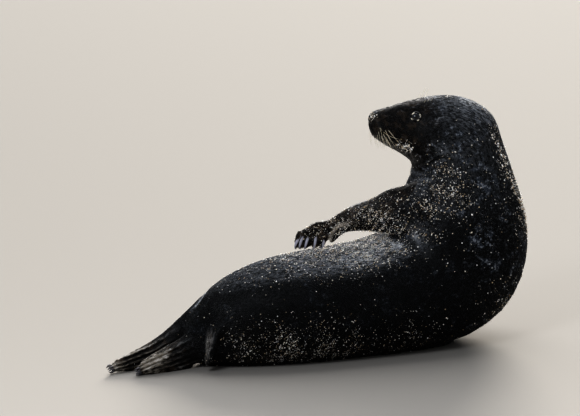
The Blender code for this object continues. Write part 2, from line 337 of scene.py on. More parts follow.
# The knuckles are filled out again, which the remesh has worn down.
knuckles = ease(0.375, 0.410, laid[:, 2]) * ease(0.000, -0.045, laid[:, 0])
laid[:, 2] += 0.009 * knuckles
laid[:, 0] -= 0.005 * ease(-0.04, -0.10, laid[:, 0])
laid[:, 2] -= 0.004 * (ease(-0.07, -0.12, laid[:, 0]) * (1 - knuckles))
points[hand] = laid
put_places(skin.data, points)


def by_line(points, name):
    """For the skin's own points: nearness to a line in thicknesses, how far along, direction."""
    gap, share, thick, heading = nearest(points, LINES[name])
    near = gap / thick
    if name == "fore_left":
        near[flank_under_hand] = FAR_OFF
    return near, share, heading


# The skin goes inside by the coat's depth, less on head and flippers, and none on the floor.
points, outward = places(skin.data), normals(skin.data)
inset = np.full(len(points), BODY_COAT)
on_top = ease(0.45, 0.33, points[:, 0]) * ease(0.55, 0.62, points[:, 2])
inset += (HEAD_COAT - BODY_COAT) * on_top
for name in LIMBS:
    near, share, _ = by_line(points, name)
    amount = ease(0.3, 1.3, share) * ease(1.6, 1.1, near)
    inset = np.minimum(inset, BODY_COAT + (FLIPPER_COAT - BODY_COAT) * amount)
points -= outward * (inset + OVERLAP)[:, None]
points[(outward[:, 2] < -0.6) & (points[:, 2] < 0.012), 2] = CLEARANCE
put_places(skin.data, points)


def crease(line, width, depth, lip=0.0, both=True):
    """Presses a soft groove along a path of x, y, z and strength, with raised lips beside it."""
    gap, _, strength, _ = nearest(mirrored(points) if both else points, line)
    near = gap < width * 5
    gap, strength = gap[near], strength[near]
    height = -depth * np.exp(-((gap / width) ** 2))
    height += lip * np.exp(-(((gap - 2 * width) / width) ** 2))
    points[near] += outward[near] * (height * strength)[:, None]


# Muzzle: the fleshy rims of the nostrils, the groove between them, mouth, chin and cheeks. Each
# is a round swelling or hollow: x, y, z, reach and height in mm.
MOUNDS = (
    (163, -19, 799, 9, 1.8),  # rim above the nostril
    (152, -12, 783, 7, 1.5),  # pad between the nostrils
    (172, -34, 779, 11, 1.2),  # wing outside the nostril
    (184, -47, 741, 22, 4.0),  # whisker pad
    (205, -22, 686, 18, 1.5),  # chin
    (298, -52, 815, 18, 2.5),  # brow over the eye
    (262, -55, 778, 14, -2.0),  # hollow before the eye
    (330, -85, 745, 30, 3.0),  # cheek
)
NAPE_HOLLOW = (545, -60, 650, 80, -9)
NOSTRIL = path(
    (151.5, -7.5, 772.5, 300), (153.5, -13.5, 778, 1000), (158.5, -21.5, 786, 1000),
    (165, -25.5, 793.5, 800), (171, -26.5, 797, 0),
)
NOSE_GROOVE = path(
    (150, 0, 785, 200), (150, 0, 770, 1000), (153, 0, 740, 1000), (159, 0, 724, 600),
)
MOUTH = path(
    (161, 0, 720, 1000), (164, -15, 719, 1000), (176, -30, 714, 1000), (191, -36.5, 707, 1000),
    (209, -40, 698, 1000), (228, -43, 690, 1000), (246, -48, 685, 900), (260, -53, 686, 400),
    (268, -55, 690, 0),
)
EAR = path((357.5, -80, 785.5, 600), (359, -80, 778, 1000))
THROAT_FOLDS = (
    path(
        (299, 0, 590, 800), (303, -45, 594, 1000), (323, -80, 624, 1000), (346, -104, 640, 900),
        (370, -119, 650, 600), (410, -133, 662, 0),
    ),
    path(
        (290, 0, 568, 700), (300, -60, 568, 700), (330, -112, 588, 500), (375, -140, 600, 0),
    ),
    path(
        (280, 0, 545, 500), (288, -70, 540, 500), (325, -125, 552, 300), (370, -150, 556, 0),
    ),
)


def raise_mound(*ball, height):
    points[:] += outward * (height / 1000 * bell(mirrored(points), *ball))[:, None]


for *ball, height in MOUNDS:
    raise_mound(*ball, height=height)
crease(MOUTH, 0.0026, 0.0050, 0.0012)
crease(NOSE_GROOVE, 0.0018, 0.0020, 0.0004)
crease(NOSTRIL, 0.0024, 0.0085, 0.0016)
crease(EAR, 0.0030, 0.0075, 0.0012)
# The breast runs smoothly on into the arm, and the nape is slightly hollow.
ARM_CORNER = np.array((0.262, -0.050, 0.555))
mean = neighbours_mean(skin.data)
share = ease(0.070, 0.030, length_of(points - ARM_CORNER))[:, None]
for _ in range(30):
    points += (mean(points) - points) * share
raise_mound(*NAPE_HOLLOW[:4], height=NAPE_HOLLOW[4])
for line, depth in zip(THROAT_FOLDS, (0.0080, 0.0038, 0.0026)):
    crease(line, 0.0070, depth, depth * 0.35)

# Eye openings: the skin dips under the eyeball inside the lids, and stands over it outside.
EYE_AXIS = np.array((-0.25, -0.93, 0.27)) / np.linalg.norm((-0.25, -0.93, 0.27))
EYE_UP = np.array((0, 0, 1.0)) - EYE_AXIS * EYE_AXIS[2]
EYE_UP /= np.linalg.norm(EYE_UP)
EYE_BACK = np.cross(EYE_UP, EYE_AXIS)
EYE_BACK *= np.sign(EYE_BACK[0])
OPEN_WIDE, OPEN_HIGH = math.radians(43), math.radians(37)
TEAR_CORNER = math.pi * 1.04  # the direction of the eye's drawn-out front corner


def lid_angle(round_angle):
    """How far the lid's edge lies from the eye's axis, in a direction round it."""
    along = np.cos(round_angle) / OPEN_WIDE
    across = np.sin(round_angle) / OPEN_HIGH
    corner = np.radians(5) * np.exp(-(((round_angle - TEAR_CORNER) / 0.35) ** 2))
    return 1 / np.sqrt(along**2 + across**2) + corner


reach = mirrored(points) - EYE_MIDDLE
far = length_of(reach)
near = np.flatnonzero(far < 0.05)
natural = far[near]
spoke = reach[near] / natural[:, None]
tilt = np.arccos(np.clip(spoke @ EYE_AXIS, -1, 1))
round_angle = np.arctan2(spoke @ EYE_UP, spoke @ EYE_BACK) % (2 * math.pi)
beyond = np.degrees(tilt - lid_angle(round_angle))
swollen = natural + (EYE_RADIUS + 0.0018 - natural) * ease(26, 3, beyond)
lid = np.maximum(EYE_RADIUS + 0.0012, swollen)
inside = EYE_RADIUS - 0.0030
wanted = inside + (lid - inside) * ease(-4, 2, beyond)
wanted = np.where(beyond > 40, natural, wanted)
wanted = wanted + (natural - wanted) * ease(22, 40, beyond)
moved = EYE_MIDDLE + spoke * wanted[:, None]
moved[:, 1] *= np.where(points[near, 1] > 0, -1.0, 1.0)
points[near] = moved
put_places(skin.data, points)

# Limbs: grooves between the digits, from the wrist or heel to the tips, and the folded web. The
# digits' places across the limb run from -1 to 1; a leading row points across at each line row.
DIGITS = {"fore": (0.88, 0.62, 0.27, -0.26, -0.80), "hind": (0.80, 0.40, 0.00, -0.40, -0.80)}
WEB_WIDTH = {"fore": 0.085, "hind": 0.10}
LEADING = {
    "fore_left": path(
        (0, 50, 1000), (50, 100, 1000), (80, 100, 1000), (20, 100, 1000), (-120, 100, 1000),
        (-600, 100, 1000), (-1100, 100, 1000), (-1000, 0, 500), (-1000, 0, 260), (-1000, 0, 100),
    ),
    "fore_right": path(*[(400, 900, 0)] * 10),
    "hind_left": path(*[(-500, 0, 1000)] * 7),
    "hind_right": path(*[(-300, -300, 1000)] * 7),
}
DIGIT_START = {"fore_left": 4.5, "fore_right": 4.5, "hind_left": 1.2, "hind_right": 1.0}
DIGIT_DEPTH = {"fore_left": 1.0, "fore_right": 1.0, "hind_left": 1.9, "hind_right": 1.9}


def by_digits(points, name):
    """Which points a limb's digits reach, ridges, webs, their growth, and the place across."""
    ways = LEADING[name] / length_of(LEADING[name])[:, None]
    _, share, thick, _ = nearest(points, LINES[name])
    near = np.flatnonzero((by_line(points, name)[0] < 1.3) & (share > DIGIT_START[name] - 0.5))
    index = share[near]
    spoke = points[near] - between(index, LINES[name])
    across = (spoke * between(index, ways)).sum(1) / thick[near]
    digits, width = DIGITS[name[:4]], WEB_WIDTH[name[:4]]
    webs = [(a + b) / 2 for a, b in zip(digits, digits[1:])]
    grow = ease(DIGIT_START[name], DIGIT_START[name] + 2.5, index)
    web = sum(np.exp(-(((across - at) / width) ** 2)) for at in webs)
    ridge = sum(np.exp(-(((across - digit) / 0.12) ** 2)) for digit in digits)
    return near, ridge, web, grow, across


HEEL_FOLD = path(
    (-12, -34, 388, 1000), (-8, -34, 406, 1000), (7, -36, 428, 1000), (27, -40, 442, 1000),
    (57, -46, 450, 700), (88, -56, 449, 0),
)
SHOULDER_FOLD = path(
    (152, -80, 425, 600), (215, -115, 420, 1000), (290, -150, 424, 800), (345, -175, 440, 0),
)
points, outward = places(skin.data), normals(skin.data)
for name, deeper in DIGIT_DEPTH.items():
    near, ridge, web, grow, _ = by_digits(points, name)
    points[near] += outward[near] * (grow * deeper * (0.0012 * ridge - 0.0034 * web))[:, None]
# The heel's web hangs down to the flank behind the last claw.
hanging = bell(points, 8, -32, 404, 16)
hanging[flank_under_hand] = 0.0
points += hanging[:, None] * np.array((-0.012, 0.0, -0.020))
crease(HEEL_FOLD, 0.0035, 0.0060, 0.0030, both=False)
crease(SHOULDER_FOLD, 0.0080, 0.0070, 0.0030, both=False)
points[:, 2] = np.maximum(points[:, 2], CLEARANCE)
put_places(skin.data, points)

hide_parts(*FLESH)
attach(skin, "root")


def linear(code):
    """Linear colour of an sRGB hex code."""
    parts = [int(code[i : i + 2], 16) / 255 for i in (1, 3, 5)]
    parts = [p / 12.92 if p <= 0.04045 else ((p + 0.055) / 1.055) ** 2.4 for p in parts]
    return (*parts, 1.0)


def feed(tree, node, links):
    """Gives a node's inputs, by name or in order, their numbers, hex codes or sockets."""
    for name, value in (links if isinstance(links, dict) else dict(enumerate(links))).items():
        if isinstance(value, bpy.types.NodeSocket):
            tree.links.new(value, node.inputs[name])
        else:
            node.inputs[name].default_value = linear(value) if isinstance(value, str) else value


def add_node(tree, kind, links=(), out=0, stops=(), **settings):
    """Adds a node with its settings, links and ramp stops, and gives one of its outputs."""
    node = tree.nodes.new("ShaderNode" + kind)
    for name, value in settings.items():
        setattr(node, name, value)
    feed(tree, node, links)
    for _ in stops[2:]:
        node.color_ramp.elements.new(0.5)
    for element, (place, level) in zip(node.color_ramp.elements if stops else (), stops):
        element.position = place
        element.color = linear(level) if isinstance(level, str) else (level, level, level, 1.0)
    return node.outputs[out]


def blank_material(name):
    material = bpy.data.materials.new(name)
    material.use_nodes = True
    return material, material.node_tree, material.node_tree.nodes["Principled BSDF"]


# Markings, as attributes that skin and coat share. Grizzle is silver-grey hair, together with
# painted highlight where light falls on upward-facing and lit parts; warm is the brown of flippers
# and damp flanks, and of the tail's painted lit edge; bare is naked skin; mottle is how strongly
# pale flecks show, taken back as painted shade where the body lies in shade; and fleck is each
# tuft's own shade. Pale places are x, y, z and reach in mm, and an amount: pale hair on the hind
# toes, the hind flipper's tip and the neck, and painted highlight on the upper flank and the hand's
# heel.
PALE_PLACES = (
    (-645, -19, 34, 26, 1.6), (-615, -20, 50, 24, 1.6), (-590, -20, 64, 18, 1.2),
    (-750, 62, 22, 26, 1.3), (80, -95, 352, 80, 0.85), (145, -86, 364, 58, 0.85),
    (195, -100, 372, 48, 0.95), (243, -122, 382, 45, 0.85), (363, -118, 670, 22, 0.55),
    (400, -133, 662, 20, 0.45), (-90, -80, 340, 80, 0.55), (50, -42, 436, 18, 1.1),
    (78, -48, 438, 18, 0.9),
)
# Painted shade: the shoulder, the chest below it and a spot on the neck lie in shade, so their
# pale mottles are taken back and their sand thinned.
SHADED_PLACES = (
    (335, -185, 405, 65, 0.8), (345, -205, 325, 80, 0.7), (265, -215, 240, 110, 0.7),
    (300, -80, 600, 30, 0.6),
)
# The low ridge of hair round the ear opening.
EAR_RIDGE = path(
    (345, -94, 747, 200), (353, -90, 760, 800), (364, -85, 775, 1000), (376, -82, 782, 1000),
    (388, -88, 776, 700), (396, -99, 758, 0),
)
# A painted highlight along the wet fold at the top of the thigh.
THIGH_HIGHLIGHT_LINE = path(
    (-395, 80, 254, 200), (-407, 78, 243, 1000), (-428, 66, 227, 1000), (-449, 67, 202, 900),
    (-480, 67, 172, 0),
)


def marks_at(points, outward):
    """Grizzle, warm, bare and mottle at each point, from 0 to 1."""
    share = nearest(points, LINES["body"])[1]
    limb_share = np.zeros(len(points))
    for name in LIMBS[:4]:
        near, along, _ = by_line(points, name)
        amount = ease(1.5, 1.05, near) * ease(0.8, 3.5, along)
        limb_share = np.maximum(limb_share, amount)
    x, _, z = points.T
    up = outward[:, 2]
    flat = mirrored(points)
    crown = ease(5.5, 8.5, share) * ease(13, 9, share)
    flank = ease(14.5, 17.0, share) * ease(23, 20, share)
    # Silver on the crown and the upper flank is partly grizzled hair and partly painted highlight:
    # most of it lies on upward-facing parts, where the light from above falls.
    upward_lit = ease(0.62, 0.82, up)
    grizzle_and_highlight = 0.15 * crown + flank * upward_lit * (0.34 + 0.30 * ease(-0.30, 0.12, x))
    grizzle_and_highlight = grizzle_and_highlight + 0.60 * ease(0.25, 0.95, up) * crown

    def beside(near, line, none, full):
        """How strongly a path of x, y, z and strength marks each point."""
        gap, _, strength, _ = nearest(near, line)
        return ease(none, full, gap) * strength

    # Painted highlight along the top of the snout's ridge, and painted rim light on the back of the
    # head and the nape, on the parts that face the rim light.
    snout_ridge_highlight = ease(0.80, 0.98, up) * ease(7.5, 6.5, share)
    nape = ease(0.2, 0.8, outward @ (0.60, 0.55, 0.58)) * ease(4, 7, share)
    nape = 0.42 * nape * ease(13.0, 10.0, share)
    grizzle_and_highlight = np.maximum.reduce((grizzle_and_highlight, 0.6 * snout_ridge_highlight, nape))
    # Limbs lose their grizzle, but the upward-facing top of the left arm is made grey: painted
    # highlight from the light above.
    arm = ease(0.10, 0.90, up) * ease(0.02, 0.08, x) * (z > 0.3)
    grizzle_and_highlight = grizzle_and_highlight * (1 - limb_share * (1 - 0.9 * arm)) + 0.62 * limb_share * arm
    # The tail's side that faces -X is paler and browner: painted highlight along its edge.
    tail, along_tail, _ = by_line(points, "tail")
    tail_edge_highlight = ease(1.5, 1.1, tail) * ease(0.5, 2.0, along_tail)
    tail_edge_highlight *= 0.65 * ease(0.60, 0.97, -outward[:, 0])
    # Pale on the underside of the chin: pale chin hair together with painted light bounced up from
    # the ground.
    chin = ease(-0.35, -0.85, up) * ease(0.345, 0.30, x) * (z > 0.6)
    # Pale marks, and painted highlights on lit edges and folds.
    pale_and_lit_marks = [
        0.7 * chin,
        tail_edge_highlight,
        # Painted highlight on the heel's web along its fold.
        beside(points, HEEL_FOLD, 0.0085, 0.004),
        0.55 * beside(flat, EAR_RIDGE, 0.006, 0.002),
        # Painted highlight along the thigh's wet fold.
        beside(points, THIGH_HIGHLIGHT_LINE, 0.016, 0.005),
        0.38 * beside(flat, MOUTH, 0.010, 0.006),
    ]
    # On the flank, pale places show only on upward-facing parts: there they are painted highlight.
    for *ball, amount in PALE_PLACES:
        pale_and_lit_marks.append(amount * bell(points, *ball) * (1 - flank * (1 - upward_lit)))
    grizzle_and_highlight = np.maximum.reduce((grizzle_and_highlight, *pale_and_lit_marks))
    # The hind digits' ridges are paler, most on the outer digits: painted highlight along the
    # raised ridges.
    for name in ("hind_left", "hind_right"):
        near, ridge, _, grow, across = by_digits(points, name)
        outer = 0.50 + 0.70 * ease(0.45, 0.70, np.abs(across))
        digit_ridge_highlight = outer * grow * ease(0.60, 0.97, ridge)
        grizzle_and_highlight[near] = np.maximum(grizzle_and_highlight[near], digit_ridge_highlight)
    low = ease(0.10, 0.02, z) * ease(-0.45, -0.30, x) * (share > 12)
    warm = (
        limb_share * (1 - 0.7 * ease(0.04, 0.12, x)),
        0.5 * low,
        0.8 * beside(flat, MOUTH, 0.014, 0.006),
        0.60 * ease(7.0, 5.0, share) * (share > 0),
        tail_edge_highlight,
    )
    lips, _, along_lips, _ = nearest(flat, MOUTH)
    bare = (
        ease(0.020, 0.013, length_of(flat - (0.155, -0.008, 0.784))),
        ease(0.0075, 0.0045, nearest(flat, NOSTRIL)[0]),
        ease(0.0050, 0.0030, lips) * ease(0, 0.5, along_lips),
        ease(0.0060, 0.0035, nearest(flat, EAR)[0]),
        ease(0.0265, 0.0235, length_of(flat - EYE_MIDDLE)),
    )
    # Mottles fade on the face, and as painted shade on the lower flank and the rump, which lie in
    # shade.
    mottle_and_shade = ease(3.5, 7.5, share) * (1 - 0.6 * limb_share)
    shaded_flank = ease(14.0, 17.0, share) * ease(0.37, 0.24, z)
    shaded_flank = np.maximum(shaded_flank, 0.6 * ease(19.5, 21.0, share))
    mottle_and_shade = mottle_and_shade * (1 - 0.85 * shaded_flank)
    # Painted shade: mottles are taken back at the shaded places.
    for *ball, amount in SHADED_PLACES:
        mottle_and_shade = mottle_and_shade * (1 - amount * bell(points, *ball))
    mottle_and_shade = np.clip(mottle_and_shade, 0.12 + 0.2 * (share < 7), 1)
    warm, bare = np.maximum.reduce(warm), np.maximum.reduce(bare)
    return np.column_stack((np.clip(grizzle_and_highlight, 0, 1), warm, bare, mottle_and_shade))


def put_attributes(mesh, **attributes):
    """Numbers or colours for the vertices."""
    for name, values in attributes.items():
        kind, field = "FLOAT", "value"
        if values.ndim > 1:
            kind, field = "FLOAT_COLOR", "color"
            values = np.column_stack((values, np.ones((len(values), 4 - values.shape[1]))))
        layer = mesh.attributes.new(name, kind, "POINT")
        layer.data.foreach_set(field, values.astype(np.float32).ravel())


points, outward = places(skin.data), normals(skin.data)
marks = marks_at(points, outward)
straight = unbent(points, LINES["body"])
for number, name in enumerate(LIMBS, start=1):
    near, share, _ = by_line(points, name)
    own = (near < 1.25) & (share > 0.8)
    straight[own] = unbent(points[own], LINES[name], 3.0 * number)
even = np.ones(len(points))
put_attributes(skin.data, marks=marks, straight=straight, fleck=0.4 * even, tip=0.1 * even)


# Settings of the nodes that blend colours and reckon with numbers.
BLEND = {"data_type": "RGBA", "out": 2}
TIMES, TIMES_PLUS = {"operation": "MULTIPLY"}, {"operation": "MULTIPLY_ADD"}
GREATER = {"operation": "MAXIMUM"}


def fur_material(name, roughness):
    """Damp seal fur. Flat wet hair is near black with a low gloss; mottles and tips are paler."""
    material, tree, surface = blank_material(name)
    place = add_node(tree, "TexCoord", out="Object")
    painted = add_node(tree, "Attribute", out="Color", attribute_name="marks")
    mottle_and_shade = painted.node.outputs["Alpha"]
    grizzle_and_highlight, warm, bare = add_node(tree, "SeparateColor", {"Color": painted}).node.outputs
    fleck, tip = (
        add_node(tree, "Attribute", out="Fac", attribute_name=name) for name in ("fleck", "tip")
    )
    straight = add_node(tree, "Attribute", out="Vector", attribute_name="straight")

    # Blotches 60 to 120 mm across, broken by spots of 15 to 30 mm, flecks of parted wet hair of 6
    # to 9 mm, and streaks of it along the body with painted glints in them. Each row is a noise's
    # vector, scale, detail, roughness and distortion, then where each ramp over it starts and is
    # full.
    stretched = add_node(tree, "Mapping", {"Vector": straight, "Scale": (66.0, 185.0, 185.0)})
    patterns = (
        (place, 11.0, 3.0, 0.60, 0.4, (0.46, 0.60)),
        (place, 40.0, 3.0, 0.65, 0.0, (0.50, 0.60)),
        (place, 130.0, 2.0, 0.60, 0.0, (0.53, 0.60)),
        (stretched, 1.0, 3.0, 0.65, 0.0, (0.45, 0.57), (0.495, 0.555)),
    )
    found = []
    for vector, scale, detail, rough, distortion, *edges in patterns:
        links = {"Vector": vector, "Scale": scale, "Detail": detail, "Roughness": rough}
        noise = add_node(tree, "TexNoise", links | {"Distortion": distortion})
        for low, high in edges:
            found.append(add_node(tree, "ValToRGB", (noise,), stops=((low, 0.0), (high, 1.0))))
    blotches, spots, specks, streaks, painted_glints = found

    pale = add_node(tree, "Math", (blotches, spots), **TIMES)
    pale = add_node(tree, "Math", (pale, mottle_and_shade), **TIMES)
    # Pale specks on the blotches, and the tips of the lightest tufts.
    light = add_node(tree, "ValToRGB", (fleck,), stops=((0.55, 0.0), (1.0, 1.0)))
    for share in (tip, 0.11, mottle_and_shade):
        light = add_node(tree, "Math", (light, share), **TIMES)
    ground = add_node(tree, "Math", (mottle_and_shade, 0.10), **TIMES)
    ground = add_node(tree, "Math", (pale, 0.90, ground), **TIMES_PLUS)
    specked = add_node(tree, "Math", (specks, ground), **TIMES)
    specked = add_node(tree, "Math", (specked, light), **GREATER)
    # Silver streaks where it is grizzled and where highlight is painted, solid where that is
    # strong, with painted white glints.
    silver_and_highlight = add_node(tree, "Math", (streaks, 0.92, 0.08), **TIMES_PLUS)
    silver_and_highlight = add_node(tree, "Math", (grizzle_and_highlight, silver_and_highlight), **TIMES)
    solid = add_node(tree, "Math", (grizzle_and_highlight, 2.0, -1.3), **TIMES_PLUS)
    silver_and_highlight = add_node(tree, "Math", (silver_and_highlight, solid), **GREATER)
    strong = add_node(tree, "ValToRGB", (grizzle_and_highlight,), stops=((0.50, 0.0), (0.85, 1.0)))
    cool = add_node(tree, "Math", (warm, -0.75, 1.0), **TIMES_PLUS)
    for share in (strong, cool):
        painted_glints = add_node(tree, "Math", (painted_glints, share), **TIMES)
    # Grey for silver and painted highlight, browner on the limbs, near white for painted glints.
    pale_and_glint_tone = add_node(tree, "Mix", {0: warm, 6: "#a2a6ac", 7: "#b0a799"}, **BLEND)
    pale_and_glint_tone = add_node(tree, "Mix", {0: painted_glints, 6: pale_and_glint_tone, 7: "#f0f2f4"}, **BLEND)
    brown = add_node(tree, "Mix", {0: spots, 6: "#15110e", 7: "#40352a"}, **BLEND)
    colour = add_node(tree, "Mix", {0: pale, 6: "#040506", 7: "#343a43"}, **BLEND)
    layers = ((warm, brown), (specked, "#8f949c"), (silver_and_highlight, pale_and_glint_tone), (bare, "#0b0a0b"))
    for share, shade in layers:
        colour = add_node(tree, "Mix", {0: share, 6: colour, 7: shade}, **BLEND)
    wet = add_node(tree, "MapRange", {"Value": bare, "To Min": roughness, "To Max": 0.20})
    feed(tree, surface, {"Base Color": colour, "Roughness": wet, "IOR": 1.50})
    feed(tree, surface, {"Specular IOR Level": 0.18, "Sheen Weight": 0.14, "Sheen Roughness": 0.25})
    return material, tree, surface


# The hide between the tufts is duller than they are. Hairs 0.1 mm thick are too fine to show, so
# its grain is drawn as locks of 2 to 3 mm.
hide, tree, surface = fur_material("damp_seal_hide", 0.48)
place = add_node(tree, "TexCoord", out="Object")
hair_grain = add_node(tree, "TexNoise", {"Vector": place, "Scale": 420.0, "Detail": 2.0})
bump = add_node(tree, "Bump", {"Strength": 0.5, "Distance": 0.0012, "Height": hair_grain})
feed(tree, surface, {"Normal": bump})
skin.data.materials.append(hide)

# ------------------------------------------------------------
# Coat. Short stiff hair in flat pointed tufts, each a closed blade that lies back along the body,
# smallest on face and feet. One joined mesh for each part of the body, so each stays small. The
# OFBake map gives every tuft its own patch, in rows by how far along and round the body it grows.


def unit(vectors, least=1e-12):
    return vectors / (length_of(vectors)[:, None] + least)


def laid_flat(ways):
    """The directions pressed onto the skin."""
    return unit(ways - outward * (ways * outward).sum(1)[:, None], 1e-9)


lie = np.zeros_like(points)
part = np.zeros(len(points), int)
closest = np.full(len(points), np.inf)
along = np.zeros(len(points))
for number, name in enumerate(LINES):
    near, share, heading = by_line(points, name)
    lie += heading * (near**-6.0)[:, None]
    nearer = near < closest
    closest[nearer], part[nearer], along[nearer] = near[nearer], number, share[nearer]
lie = laid_flat(lie)
mean = neighbours_mean(skin.data)
for _ in range(12):
    lie = laid_flat(lie + 0.7 * (mean(lie) - lie))

skin.data.calc_loop_triangles()
corners = pull(skin.data.loop_triangles, "vertices", 3, np.int32)
one, two, three = (points[corners[:, k]] for k in range(3))
areas = length_of(np.cross(two - one, three - one)) / 2
triangle_part, triangle_along = part[corners[:, 0]], along[corners[:, 0]]


def scatter(chosen, density, chance):
    """Random roots on the chosen triangles: place, normal, lie, marks, straight, how far along."""
    wanted = areas * density * chosen
    count = int(wanted.sum())
    picked = np.searchsorted(np.cumsum(wanted), chance.random(count) * wanted.sum())
    picked = np.minimum(picked, len(corners) - 1)
    one, two = chance.random(count), chance.random(count)
    over = one + two > 1
    one[over], two[over] = 1 - one[over], 1 - two[over]
    shares = np.column_stack((1 - one - two, one, two))[:, :, None]
    blended = [
        (values[corners[picked]] * shares).sum(1)
        for values in (points, outward, lie, marks, straight)
    ]
    return *blended, triangle_along[picked]


def mesh_of(name, verts, faces):
    """An object from arrays of points and triangles, the triangles being those of one unit."""
    faces = (faces[None] + (np.arange(len(verts)) * verts.shape[1])[:, None, None]).reshape(-1, 3)
    mesh = bpy.data.meshes.new(name)
    mesh.vertices.add(verts.size // 3)
    mesh.vertices.foreach_set("co", verts.astype(np.float32).ravel())
    mesh.loops.add(faces.size)
    mesh.loops.foreach_set("vertex_index", faces.astype(np.int32).ravel())
    mesh.polygons.add(len(faces))
    mesh.polygons.foreach_set("loop_start", np.arange(0, faces.size, 3, dtype=np.int32))
    mesh.update(calc_edges=True)
    return add_object(name, mesh), faces


PATCH = 0.003  # the largest side of a patch, in shares of the map


def bake_places(mesh, roots, axis_share, faces, layout):
    """The OFBake map: each tuft's own patch, in columns along the body and rows round it."""
    count = len(roots)
    columns = max(1, math.ceil(math.sqrt(count)))
    middle = roots.mean(0)
    round_angle = np.arctan2(roots[:, 2] - middle[2], roots[:, 1] - middle[1])
    order = np.argsort(axis_share, kind="stable")
    place = np.empty((count, 2))
    for column in range(columns):
        strip = order[column * columns : (column + 1) * columns]
        strip = strip[np.argsort(round_angle[strip], kind="stable")]
        place[strip, 0] = (column + 0.5) / columns
        place[strip, 1] = (np.arange(len(strip)) + 0.5) / columns
    size = min(PATCH, 0.9 / columns)
    corners_of = place[:, None, :] + (np.array(layout) - 0.5)[None] * size
    flat = corners_of.reshape(-1, 2)[faces.ravel()]
    mesh.uv_layers.new(name="OFBake").data.foreach_set("uv", flat.astype(np.float32).ravel())


TUFT_FACES = np.array(((0, 1, 2), (1, 3, 2), (3, 0, 2), (0, 3, 1)))
TUFT_LAYOUT = ((0.0, 0.0), (1.0, 0.0), (0.5, 0.35), (0.5, 1.0))
TUFT_TIPS = np.array((0.0, 0.0, 0.5, 1.0))
ROOT_DEPTH = 0.0004  # how far a tuft's base is sunk into the skin
# Name, line, from and to how far along it, tufts to the square metre, length, width and lift.
COATS = (
    ("coat_face", "body", 0, 5.5, 260000, 0.0060, 0.0010, 0.12),
    ("coat_head", "body", 5.5, 8.6, 190000, 0.0068, 0.0014, 0.14),
    ("coat_neck", "body", 8.6, 11.5, 155000, 0.0075, 0.0017, 0.17),
    ("coat_chest", "body", 11.5, 15.6, 108000, 0.0085, 0.0019, 0.16),
    ("coat_trunk_fore", "body", 15.6, 17.7, 125000, 0.0088, 0.0019, 0.15),
    ("coat_trunk_hind", "body", 17.7, 19.6, 125000, 0.0088, 0.0019, 0.15),
    ("coat_rump", "body", 19.6, 99, 140000, 0.0095, 0.0017, 0.15),
    ("coat_tail", "tail", 0, 99, 150000, 0.0080, 0.0014, 0.12),
    ("coat_fore_left", "fore_left", 0, 99, 170000, 0.0075, 0.0013, 0.12),
    ("coat_fore_right", "fore_right", 0, 99, 150000, 0.0075, 0.0013, 0.12),
    ("coat_hind_left", "hind_left", 0, 99, 150000, 0.0070, 0.0012, 0.11),
    ("coat_hind_right", "hind_right", 0, 99, 150000, 0.0070, 0.0012, 0.11),
)
# Guard hair is smooth and wet, so it shines more than the hide under it.
hair, tree, surface = fur_material("damp_guard_hair", 0.36)
for seed, (name, line, start, end, density, length, width, lift) in enumerate(COATS, start=11):
    chance = np.random.default_rng(seed)
    chosen = (triangle_part == list(LINES).index(line)) & (triangle_along >= start)
    roots = scatter(chosen & (triangle_along < end), density, chance)
    # None grow on bare skin or under the belly's flats.
    root, normal, _, mark, _, _ = roots
    keep = (mark[:, 2] < 0.35) & ~((root[:, 2] < 0.002) & (normal[:, 2] < -0.5))
    root, normal, way, mark, bent, share = (values[keep] for values in roots)
    count = len(root)
    normal, way = unit(normal), unit(way)
    side = np.cross(normal, way)
    turn = chance.normal(0, 0.16, count)
    turn += 0.25 * np.sin(root @ (31.0, 17.0, 23.0)) * np.sin(root @ (-13.0, 29.0, 19.0))
    way = unit(way * np.cos(turn)[:, None] + side * np.sin(turn)[:, None])
    side = np.cross(normal, way)
    long = length * chance.uniform(0.7, 1.25, count)[:, None]
    wide = width * chance.uniform(0.75, 1.25, count)[:, None] / 2
    rise = long * lift * chance.uniform(0.4, 1.5, count)[:, None]
    low = root - normal * ROOT_DEPTH
    ridge = root + way * long * 0.4 + normal * (rise * 0.45 + wide * 0.45)
    end = root + way * long + normal * rise
    verts = np.stack((low + side * wide, low - side * wide, ridge, end), axis=1)
    verts[:, :, 2] = np.maximum(verts[:, :, 2], 0.0004)
    made, faces = mesh_of(name, verts, TUFT_FACES)
    mark, bent = np.repeat(mark, 4, axis=0), np.repeat(bent, 4, axis=0)
    fleck, tip = np.repeat(chance.random(count), 4), np.tile(TUFT_TIPS, count)
    put_attributes(made.data, marks=mark, straight=bent, fleck=fleck, tip=tip)
    bake_places(made.data, root, share, faces, TUFT_LAYOUT)
    made.data.materials.append(hair)
    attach(made, "root")

# ------------------------------------------------------------
# Eyes. Large dark eyes under a clear wet cornea, the dark brown iris round a wide pupil drawn
# blue-grey: cornea haze together with painted reflection of the sky. Each is a ball in its socket,
# turned at its place and bulged at the front, in place of the CAD ball.
PUPIL, IRIS = math.radians(24), math.radians(36)


def eye_frame(side):
    """Middle, axis, up and backward of the eye on a side, -1 for the left and 1 for the right."""
    return [way * (1.0, -side, 1.0) for way in (EYE_MIDDLE, EYE_AXIS, EYE_UP, EYE_BACK)]


# An eyeball under a film of tears is deep and dark, with small sharp highlights. The fibres of the
# iris are too fine to show, so they are drawn 1 mm wide.
wet_eye, tree, surface = blank_material("wet_dark_eye")
